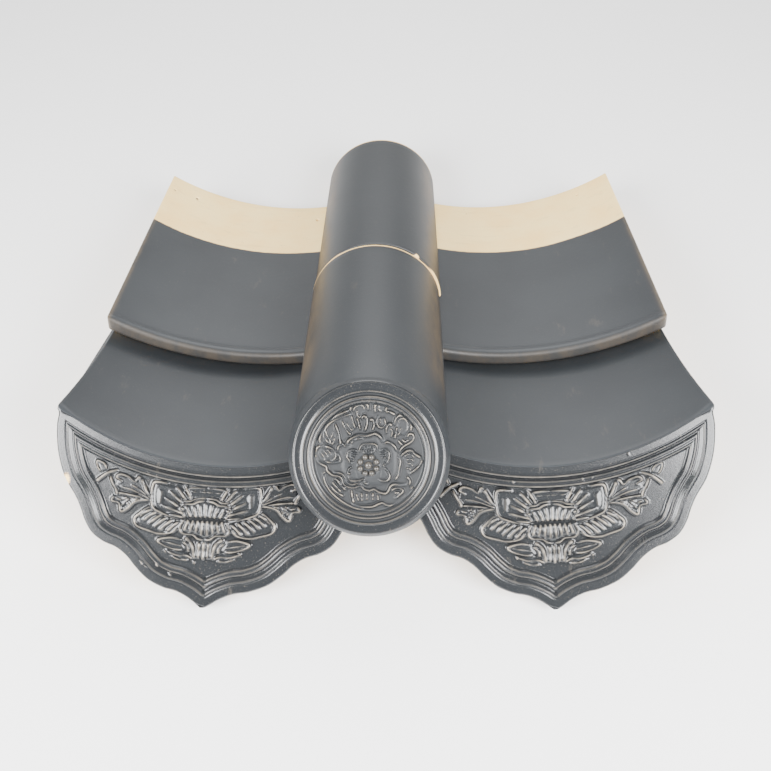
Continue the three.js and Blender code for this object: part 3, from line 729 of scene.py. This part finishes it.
def pendantRelief(points, middle):
    height = np.zeros(len(points))
    folded = np.stack([np.abs(points[:, 0] - middle[0]), points[:, 1] - middle[1]], -1)
    for rise, soft, ring in peonyMounds:
        raiseMound(height, folded, ring, rise, soft)
    upper = [6 + 11.4 * k for k in range(6)]
    drawRibs(height, folded, np.array([4, -46]), upper, [(13.5 + k, 35) for k in range(6)], 1.6, 2.1)
    fan = [90 - 9 * k for k in range(5)]
    roots = [23 / math.sin(math.radians(a)) for a in fan]
    reach = [(r, r + 12.5 - 0.7 * k) for k, r in enumerate(roots)]
    drawRibs(height, folded, np.array([0, -67.5]), fan, reach, 1.2, 1.5)
    skirt = [-90 + 5.6 * (k + 0.5) for k in range(5)]
    roots = [38.7 / math.sin(math.radians(-a)) for a in skirt]
    reach = [(r, r + 13 - 0.8 * k) for k, r in enumerate(roots)]
    drawRibs(height, folded, np.array([0, -8]), skirt, reach, 1.45, 2.1)
    for k in range(6):
        bend = [(43 - 4.4 * k, -38.6 - 1.9 * k), (50 - 4.5 * k, -42.2 - 2.3 * k),
                (56 - 4.6 * k, -47 - 2.5 * k)]
        drawLine(height, folded, bend, 1.45, 2, (0.2, 0.4), True)
    for rise, width, path in peonyLines:
        drawLine(height, folded, path, width * dripTile["lineWidth"], rise * dripTile["lineRise"])
    return height


def buildDrip(name, side, middle, flaws, chips):
    t = dripTile
    r, lean = t["radius"], t["lean"]
    halfWide = r * (t["halfAngle"] + t["flare"])
    ends = [(1 - e / halfWide, q) for e, q in roundedEnd(t["edge"], 6)]
    inner = np.linspace(-ends[-1][0], ends[-1][0], t["columns"])[1:-1]
    s = np.concatenate([[-a for a, _ in ends], inner, [a for a, _ in reversed(ends)]])
    q = np.concatenate([[b for _, b in ends], 0 * inner, [b for _, b in reversed(ends)]])

    def panRow(part, depth, draw=0.0):  # part of the length, 0 at the front
        spread = t["halfAngle"] + t["flare"] * np.maximum(0, 1 - part * t["length"] / t["flareLength"]) ** 2
        x, z = hollowPoint(s * (r * spread - draw), depth, r)
        top = r - np.sqrt(r**2 - x**2)
        frontY = top * math.tan(lean)
        return np.stack([x, frontY + (t["length"] - frontY) * part, z + r], -1)

    def facePoint(u, v, h):
        level, plumb = math.cos(lean), math.sin(lean)
        return np.stack([u, v * plumb - h * level, v * level + h * plumb], -1)

    outline = pendantOutline()
    foot = evenly(outline, 2000)[np.round((s + 1) / 2 * 1999).astype(int)]
    crown = panRow(0, 0 * q)
    crownV = crown[:, 2] / math.cos(lean)
    fillet = t["fillet"] + t["cornerFillet"] * smooth(np.abs(s), 0.86, 1)
    fillet = np.minimum(fillet, 0.7 * (crownV - foot[:, 1]))
    rows, bare, kinds = [], [], []

    def addRow(points, bareness, kind="pan"):
        rows.append(points)
        bare.append(np.broadcast_to(bareness, len(s)))
        kinds.append(kind)

    sideIn = (1 - np.abs(s)) * halfWide
    for e, draw in roundedEnd(t["edge"], 5):
        addRow(panRow(1 - e / t["length"], np.maximum(q, draw), draw), fullClay)
    for part in np.linspace(0.98, 0.02, t["rowsOver"]):
        addRow(panRow(part, q), part * t["length"] - t["glazeEnd"])
    start = panRow(fillet / t["length"], q)
    corner = panRow(0, q)
    down = facePoint(crown[:, 0], crownV - fillet, -q)
    for f in (0, 0.25, 0.5, 0.75):
        addRow((1 - f) ** 2 * start + 2 * f * (1 - f) * corner + f**2 * down, fullGlaze)
    parts = np.linspace(0, 1, t["faceRows"])
    u = crown[:, 0] + np.outer(parts, foot[:, 0] - crown[:, 0])
    v = crownV - fillet + np.outer(parts, foot[:, 1] - crownV + fillet)
    flat = np.stack([u, v], -1).reshape(-1, 2)
    fence = np.vstack([outline[0] + (-2, 25), outline, outline[-1] + (2, 25)])
    fromEdge, _ = distanceTo(flat, fence[::2])
    slope = flat[:, 0] / np.sqrt(r**2 - np.clip(flat[:, 0], -r + 1, r - 1) ** 2) / math.cos(lean)
    topV = (r - np.sqrt(r**2 - flat[:, 0] ** 2)) / math.cos(lean)
    fromTop = (topV - flat[:, 1]) / np.sqrt(1 + slope**2)
    sideAt, topAt, level = np.array(borderSteps).T
    place = np.arange(len(level))
    along = np.minimum(np.interp(fromEdge, sideAt, place), np.interp(fromTop, topAt, place))
    step = np.minimum(along.astype(int), len(level) - 2)
    high = level[step] + (level[step + 1] - level[step]) * smooth(along - step, 0, 1)
    high = high + pendantRelief(flat, middle) * smooth(along, len(level) - 1.5, len(level) - 1)
    for across, up, size, rise in flaws:
        lump = np.zeros(len(flat))
        drawLine(lump, flat, [(across - 0.3 * size, up), (across + 0.3 * size, up + 0.2 * size)], size, rise)
        high = high + lump
    chipped = np.full(len(flat), float(fullGlaze))
    for across, up, size in chips:
        away = np.hypot(flat[:, 0] - across, 0.6 * (flat[:, 1] - up)) + 0.5 * np.sin(3 * flat[:, 1])
        chipped = np.maximum(chipped, size - away)
        high = high - 0.35 * size * (1 - smooth(away, 0.5 * size, size))
    chipped = chipped.reshape(u.shape)
    high = high.reshape(u.shape)
    # the pendant's tone paints its crests lighter (wear and a painted highlight) and its hollows darker
    # (pooled glaze and painted shade), faded out at the wavy edge
    tone = reliefTone(high) * smooth(fromEdge.reshape(u.shape), 0.2, 1.6)
    e = np.minimum(fromEdge.reshape(u.shape), np.minimum(sideIn, t["edge"]))
    high = high - np.maximum(roundedDrop(e, t["edge"]), np.outer(1 - parts, q))
    for i in range(len(parts)):
        addRow(facePoint(u[i], v[i], high[i]), chipped[i], "face")
    backV = (panRow(0, 0 * q + t["wall"])[:, 2] + t["thickness"] * math.sin(lean)) / math.cos(lean)
    backV = np.minimum(backV, foot[:, 1] - 1)
    backV = np.where(np.abs(s) > 0.97, np.minimum(crownV - 6, foot[:, 1] - 1), backV)
    for f in (0, 0.004, 0.012, 0.03, 0.1, 0.25, 0.4, 0.55, 0.7, 0.85, 1):
        bu = foot[:, 0] + (crown[:, 0] - foot[:, 0]) * f
        bv = foot[:, 1] + (backV - foot[:, 1]) * f
        run = np.hypot((crown[:, 0] - foot[:, 0]) * f, (backV - foot[:, 1]) * f)
        e = np.minimum(run, t["edge"])
        lift = np.maximum(roundedDrop(e, t["edge"]), q * f)
        addRow(facePoint(bu, bv, lift - t["thickness"]), run - 8)
    for part in np.linspace(0.05, 0.97, t["rowsUnder"]):
        under = np.minimum(sideIn - 5, 20)
        addRow(panRow(part, t["wall"] - q), np.maximum(under, part * t["length"] - t["glazeEnd"]))
    for e, draw in reversed(roundedEnd(t["edge"], 5)):
        addRow(panRow(1 - e / t["length"], t["wall"] - np.maximum(q, draw), draw), fullClay)

    tones = np.zeros((len(rows), len(s)))
    tones[[i for i, kind in enumerate(kinds) if kind == "face"]] = tone
    points, bare = np.array(rows), np.array(bare)
    for column in (0, -1):  # the flat sides are bare beyond the glaze line and show no relief
        chip = np.where(np.array(kinds) == "face", bare[:, column], noStrip)
        bare[:, column] = np.maximum(points[:, column, 1] - t["glazeEnd"], chip)
        tones[:, column] = 0
    points[..., 2] -= r
    points = layDrip(points, side)
    columns = points.transpose(1, 0, 2)
    n = len(rows)
    firstEnd = list(range(n))
    lastEnd = [(len(s) - 1) * n + k for k in reversed(range(n))]
    values = {"bare": bare.T, "tone": tones.T}
    piece = makePiece(name, columns, sheetFaces(len(s), n, True), values, [firstEnd[::-1], lastEnd[::-1]])
    first, last = kinds.index("face") - 1, n - kinds[::-1].index("face") + 3
    for k, face in enumerate(piece.data.polygons):
        if k < (len(s) - 1) * n:
            face.material_index = int(first <= k % n < last)
    print("drip tile", name, len(piece.data.polygons), "faces")
    return piece


def layDrip(points, side):
    t = dripTile
    turn = -side * t["roll"]
    x, y, z = np.moveaxis(points, -1, 0)
    rolledX = x * math.cos(turn) + z * math.sin(turn)
    rolledZ = z * math.cos(turn) - x * math.sin(turn) + t["radius"]
    c, s = math.cos(t["pitch"]), math.sin(t["pitch"])
    shiftX = lay["pansShift"] + side * t["axisX"]
    laidY, laidZ = y * c - rolledZ * s, y * s + rolledZ * c
    return np.stack([rolledX + shiftX, laidY + t["valleyY"], laidZ + t["valleyZ"]], -1)


# Finishes
clayBody = {
    "colour": (0.97, 0.66, 0.25), "pale": (0.99, 0.74, 0.33), "stain": (0.4, 0.26, 0.14), "rough": 0.82,
}
panGlaze = {
    "colour": (0.022, 0.0255, 0.029), "deep": (0.0165, 0.0192, 0.0225),
    "wearAndHighlight": (0.13, 0.11, 0.085), "scuff": 0.32,
    "wearAndHighlightAmount": 0.3, "rough": 0.42, "metallic": 0.08, "coat": 0.08, "coatRough": 0.35,
}
coverGlaze = {
    "colour": (0.0205, 0.0232, 0.026), "deep": (0.0165, 0.019, 0.0215),
    "wearAndHighlight": (0.14, 0.115, 0.085), "scuff": 0.14,
    "wearAndHighlightAmount": 0.3, "rough": 0.5, "metallic": 0.05, "coat": 0.03, "coatRough": 0.4,
}
ornamentGlaze = {
    "colour": (0.014, 0.0158, 0.018), "deep": (0.0105, 0.012, 0.0138),
    "wearAndHighlight": (0.34, 0.29, 0.225), "scuff": 0.15,
    "wearAndHighlightAmount": 0.6, "rough": 0.23, "metallic": 0.15, "coat": 0.2, "coatRough": 0.16,
}


def newGroup(name, inputs, outputs):
    group = bpy.data.node_groups.new(name, "ShaderNodeTree")
    for label, kind, value in inputs:
        socket = group.interface.new_socket(label, in_out="INPUT", socket_type=kind)
        if value is not None:
            socket.default_value = value
    for label, kind in outputs:
        group.interface.new_socket(label, in_out="OUTPUT", socket_type=kind)
    return group, group.nodes.new("NodeGroupInput"), group.nodes.new("NodeGroupOutput")


def addNode(tree, kind, settings=None, inputs=None):
    node = tree.nodes.new(kind)
    for key, value in (settings or {}).items():
        setattr(node, key, value)
    for key, value in (inputs or {}).items():
        if isinstance(value, bpy.types.NodeSocket):
            tree.links.new(value, node.inputs[key])
        else:
            node.inputs[key].default_value = value
    return node


def mixColour(tree, factor, a, b, blend="MIX"):
    node = addNode(tree, "ShaderNodeMix", {"data_type": "RGBA", "blend_type": blend}, {0: factor})
    for index, value in ((6, a), (7, b)):
        if isinstance(value, bpy.types.NodeSocket):
            tree.links.new(value, node.inputs[index])
        else:
            node.inputs[index].default_value = (*value, 1) if len(value) == 3 else value
    return node.outputs[2]


def ranged(tree, value, low, high, toLow, toHigh):
    node = addNode(tree, "ShaderNodeMapRange", {"interpolation_type": "SMOOTHSTEP"},
                   {0: value, 1: low, 2: high, 3: toLow, 4: toHigh})
    return node.outputs[0]


def maths(tree, operation, *values):
    return addNode(tree, "ShaderNodeMath", {"operation": operation}, dict(enumerate(values))).outputs[0]


def stretched(tree, where, scale):
    return addNode(tree, "ShaderNodeMapping", {}, {"Vector": where, "Scale": scale}).outputs[0]


def noise(tree, where, scale, detail=4, rough=0.5):
    inputs = {"Vector": where, "Scale": scale, "Detail": detail, "Roughness": rough}
    return addNode(tree, "ShaderNodeTexNoise", {}, inputs).outputs["Fac"]


def makeSlateGlaze():  # fired slate glaze: clouds, specks, thin glaze and a painted highlight on the crests, pooled glaze and painted shade in the hollows
    group, given, result = newGroup("slateGlaze", [
        ("Position", "NodeSocketVector", None), ("Relief", "NodeSocketFloat", 0.0),
        ("Colour", "NodeSocketColor", (0.14, 0.15, 0.16, 1)), ("Deep Colour", "NodeSocketColor",
        (0.1, 0.11, 0.12, 1)),
        ("Wear And Highlight Colour", "NodeSocketColor", (0.4, 0.36, 0.3, 1)), ("Wear And Highlight", "NodeSocketFloat", 0.5),
        ("Scuffs", "NodeSocketFloat", 0.3), ("Thin", "NodeSocketFloat", 0.0),
        ("Roughness", "NodeSocketFloat", 0.4),
    ], [("Colour", "NodeSocketColor"), ("Roughness", "NodeSocketFloat"), ("Height", "NodeSocketFloat")])
    put = given.outputs
    where, relief = put["Position"], put["Relief"]
    cloud = noise(group, where, 11, 5, 0.55)
    speck = noise(group, where, 750, 2, 0.6)
    smear = noise(group, stretched(group, where, (1.6, 0.5, 1)), 42, 6, 0.7)
    base = mixColour(group, ranged(group, cloud, 0.3, 0.7, 0, 1), put["Deep Colour"], put["Colour"])
    base = mixColour(group, ranged(group, speck, 0.62, 0.78, 0, 0.22), base, put["Wear And Highlight Colour"])
    thin = maths(group, "MULTIPLY", ranged(group, smear, 0.6, 0.74, 0, 1), put["Scuffs"])
    base = mixColour(group, thin, base, mixColour(group, 0.7, base, put["Wear And Highlight Colour"]))
    patchy = maths(group, "MULTIPLY", put["Thin"], ranged(group, smear, 0.35, 0.6, 0.35, 1))
    base = mixColour(group, patchy, base, (0.085, 0.062, 0.038))
    # crests take the wear-and-highlight colour: partly worn glaze, partly a painted highlight
    wearAndHighlight = noise(group, where, 75, 3, 0.6)
    rubbed = maths(group, "MULTIPLY", put["Wear And Highlight"], ranged(group, wearAndHighlight, 0.36, 0.6, 0.45, 1))
    crestWearAndHighlight = maths(group, "MULTIPLY", ranged(group, relief, 0.05, 0.95, 0, 1), rubbed)
    base = mixColour(group, crestWearAndHighlight, base, put["Wear And Highlight Colour"])
    # hollows are painted darker: partly glaze pooled there, partly painted shade
    pooledAndPaintedShade = ranged(group, relief, -0.6, -0.03, 0.92, 0)
    darkest = mixColour(group, 1, put["Deep Colour"], (0.22, 0.23, 0.25), "MULTIPLY")
    base = mixColour(group, pooledAndPaintedShade, base, darkest)
    group.links.new(base, result.inputs["Colour"])
    uneven = maths(group, "MULTIPLY_ADD", cloud, 0.12, -0.06)
    duller = maths(group, "MULTIPLY_ADD", thin, 0.14, uneven)
    group.links.new(maths(group, "ADD", put["Roughness"], duller), result.inputs["Roughness"])
    fine = maths(group, "MULTIPLY", speck, 0.35)
    pitted = maths(group, "MULTIPLY_ADD", noise(group, where, 190, 3), 0.6, fine)
    group.links.new(pitted, result.inputs["Height"])
    return group


def makeBareClay():  # unglazed cream clay: pressed grain, drag lines and a few stains
    group, given, result = newGroup("bareClay", [
        ("Position", "NodeSocketVector", None), ("Colour", "NodeSocketColor", (0.8, 0.7, 0.5, 1)),
        ("Pale Colour", "NodeSocketColor", (0.9, 0.8, 0.6, 1)), ("Stain Colour", "NodeSocketColor",
        (0.5, 0.36, 0.22, 1)),
        ("Roughness", "NodeSocketFloat", 0.8),
    ], [("Colour", "NodeSocketColor"), ("Roughness", "NodeSocketFloat"), ("Height", "NodeSocketFloat")])
    put = given.outputs
    where = put["Position"]
    cloud = noise(group, where, 18, 5, 0.6)
    drag = noise(group, stretched(group, where, (0.14, 1, 1)), 120, 3, 0.6)
    spot = noise(group, where, 95, 3, 0.65)
    grit = noise(group, where, 900, 2, 0.6)
    base = mixColour(group, ranged(group, cloud, 0.3, 0.7, 0, 1), put["Colour"], put["Pale Colour"])
    base = mixColour(group, ranged(group, drag, 0.56, 0.74, 0, 0.16), base, put["Stain Colour"])
    base = mixColour(group, ranged(group, spot, 0.69, 0.76, 0, 0.45), base, put["Stain Colour"])
    base = mixColour(group, ranged(group, grit, 0.66, 0.8, 0, 0.3), base, put["Stain Colour"])
    group.links.new(base, result.inputs["Colour"])
    group.links.new(maths(group, "MULTIPLY_ADD", cloud, 0.1, put["Roughness"]), result.inputs["Roughness"])
    raised = maths(group, "MULTIPLY_ADD", grit, 0.6, maths(group, "MULTIPLY", drag, 0.8))
    group.links.new(raised, result.inputs["Height"])
    return group


def makeGlazeLine():  # where the glaze stops: a hand-dipped line that wavers, with a thin brown fringe
    group, given, result = newGroup("glazeLine", [
        ("Position", "NodeSocketVector", None), ("Bare", "NodeSocketFloat", 0.0),
        ("Waver", "NodeSocketFloat", 1.2),
    ], [("Mask", "NodeSocketFloat"), ("Fringe", "NodeSocketFloat")])
    put = given.outputs
    slow = maths(group, "SUBTRACT", noise(group, put["Position"], 14, 2), 0.5)
    quick = maths(group, "SUBTRACT", noise(group, put["Position"], 170, 3, 0.6), 0.5)
    sway = maths(group, "MULTIPLY_ADD", slow, 5, maths(group, "MULTIPLY", quick, 1.6))
    edge = maths(group, "MULTIPLY_ADD", sway, put["Waver"], put["Bare"])
    group.links.new(ranged(group, edge, -0.25, 0.35, 0, 1), result.inputs["Mask"])
    near = maths(group, "ABSOLUTE", edge)
    group.links.new(ranged(group, near, 0, 1.1, 0.6, 0), result.inputs["Fringe"])
    return group


groups = {"glaze": makeSlateGlaze(), "clay": makeBareClay(), "line": makeGlazeLine()}


def tileMaterial(name, look, waver):
    material = bpy.data.materials.new(name)
    material.use_nodes = True
    tree = material.node_tree
    shader = tree.nodes["Principled BSDF"]
    where = addNode(tree, "ShaderNodeTexCoord").outputs["Object"]
    bare = addNode(tree, "ShaderNodeAttribute", {"attribute_name": "bare"}).outputs["Fac"]
    tone = addNode(tree, "ShaderNodeAttribute", {"attribute_name": "tone"}).outputs["Fac"]
    thin = addNode(tree, "ShaderNodeAttribute", {"attribute_name": "thin"}).outputs["Fac"]
    line = addNode(tree, "ShaderNodeGroup", {"node_tree": groups["line"]},
                   {"Position": where, "Bare": bare, "Waver": waver}).outputs
    glaze = addNode(tree, "ShaderNodeGroup", {"node_tree": groups["glaze"]}, {
        "Position": where, "Relief": tone, "Colour": (*look["colour"], 1), "Deep Colour": (*look["deep"], 1),
        "Wear And Highlight Colour": (*look["wearAndHighlight"], 1), "Wear And Highlight": look["wearAndHighlightAmount"], "Scuffs": look["scuff"], "Thin": thin,
        "Roughness": look["rough"],
    }).outputs
    clay = addNode(tree, "ShaderNodeGroup", {"node_tree": groups["clay"]}, {
        "Position": where, "Colour": (*clayBody["colour"], 1), "Pale Colour": (*clayBody["pale"], 1),
        "Stain Colour": (*clayBody["stain"], 1), "Roughness": clayBody["rough"],
    }).outputs
    mask = line["Mask"]
    colour = mixColour(tree, mask, glaze["Colour"], clay["Colour"])
    colour = mixColour(tree, line["Fringe"], colour, clayBody["stain"])
    tree.links.new(colour, shader.inputs["Base Color"])
    blend = {0: mask, 2: glaze["Roughness"], 3: clay["Roughness"]}
    tree.links.new(addNode(tree, "ShaderNodeMix", {}, blend).outputs[0], shader.inputs["Roughness"])
    tree.links.new(ranged(tree, mask, 0, 1, look["metallic"], 0), shader.inputs["Metallic"])
    tree.links.new(ranged(tree, mask, 0, 1, look["coat"], 0), shader.inputs["Coat Weight"])
    shader.inputs["Coat Roughness"].default_value = look["coatRough"]
    raised = addNode(tree, "ShaderNodeMix", {}, {0: mask, 2: glaze["Height"], 3: clay["Height"]}).outputs[0]
    bump = addNode(tree, "ShaderNodeBump", {}, {"Height": raised, "Strength": 0.24, "Distance": 0.0004})
    tree.links.new(bump.outputs[0], shader.inputs["Normal"])
    return material


# Camera, floor and light
def makeCamera():
    aim = {"x": 26.06, "y": -746.8, "z": 481.1, "pitch": 0.671, "yaw": -0.024, "roll": -0.017, "lens": 40.16}
    cp, sp, cy, sy = (f(aim[k]) for k in ("pitch", "yaw") for f in (math.cos, math.sin))
    ahead = np.array([sy * cp, cy * cp, -sp])
    right = np.array([cy, -sy, 0])
    above = np.cross(right, ahead)
    cr, sr = math.cos(aim["roll"]), math.sin(aim["roll"])
    right, above = cr * right + sr * above, cr * above - sr * right
    data = bpy.data.cameras.new("camera")
    data.lens, data.sensor_width = aim["lens"], 36
    camera = bpy.data.objects.new("camera", data)
    bpy.context.scene.collection.objects.link(camera)
    turned = [toRow(v, False) for v in (right, above, -ahead)]
    matrix = Matrix([list(row) for row in np.array(turned).T]).to_4x4()
    matrix.translation = toRow((aim["x"], aim["y"], aim["z"])).tolist()
    camera.matrix_world = matrix
    bpy.context.scene.camera = camera


def makeStage():
    bpy.ops.mesh.primitive_plane_add(size=12, location=(0, 0, 0))
    floor = bpy.context.object
    floor.name = "floor"
    material = bpy.data.materials.new("floorPaper")
    material.use_nodes = True
    shader = material.node_tree.nodes["Principled BSDF"]
    shader.inputs["Base Color"].default_value = (0.93, 0.93, 0.93, 1)
    shader.inputs["Roughness"].default_value = 0.9
    floor.data.materials.append(material)
    world = bpy.data.worlds.new("studio")
    world.use_nodes = True
    world.node_tree.nodes["Background"].inputs["Color"].default_value = (1, 1, 1, 1)
    world.node_tree.nodes["Background"].inputs["Strength"].default_value = 0.85
    bpy.context.scene.world = world
    lamps = [  # name, place, size, watts
        ("leftSoftbox", (-0.92, -0.87, 0.86), 0.8, 61),
        ("rightSoftbox", (0.86, -0.9, 0.86), 0.8, 60),
        ("topSoftbox", (0, 1.3, 1.5), 1.2, 23),
    ]
    for name, place, size, watts in lamps:
        data = bpy.data.lights.new(name, "AREA")
        data.size, data.energy = size, watts
        lamp = bpy.data.objects.new(name, data)
        lamp.location = place
        aim = -Matrix.Translation(place).translation
        lamp.rotation_euler = aim.to_track_quat("-Z", "Y").to_euler()
        bpy.context.scene.collection.objects.link(lamp)


makeCamera()
makeStage()
glazes = {
    "pan": tileMaterial("panGlaze", panGlaze, 0.8),
    "cover": tileMaterial("coverGlaze", coverGlaze, 0.25),
    "ornament": tileMaterial("ornamentGlaze", ornamentGlaze, 0.25),
}
pieces = {
    "left_pan_tile": (buildPan("leftPanTile", -1), ["pan"]),
    "right_pan_tile": (buildPan("rightPanTile", 1), ["pan"]),
    "rear_cover_tile": (buildRearCover("rearCoverTile"), ["cover"]),
    "eave_cover_tile": (buildEaveCover("eaveCoverTile"), ["cover", "ornament"]),
    "left_drip_tile": (buildDrip("leftDripTile", -1, (-7, 0), leftFlaws, leftChips), ["pan", "ornament"]),
    "right_drip_tile": (buildDrip("rightDripTile", 1, (-3, -1.5), rightFlaws, []), ["pan", "ornament"]),
}
for node, (piece, coats) in pieces.items():
    parts = np.zeros(len(piece.data.polygons), np.int32)
    piece.data.polygons.foreach_get("material_index", parts)
    piece.data.materials.clear()
    for coat in coats:
        piece.data.materials.append(glazes[coat])
    piece.data.polygons.foreach_set("material_index", np.minimum(parts, len(coats) - 1))
    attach(piece, "root")
    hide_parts(node)
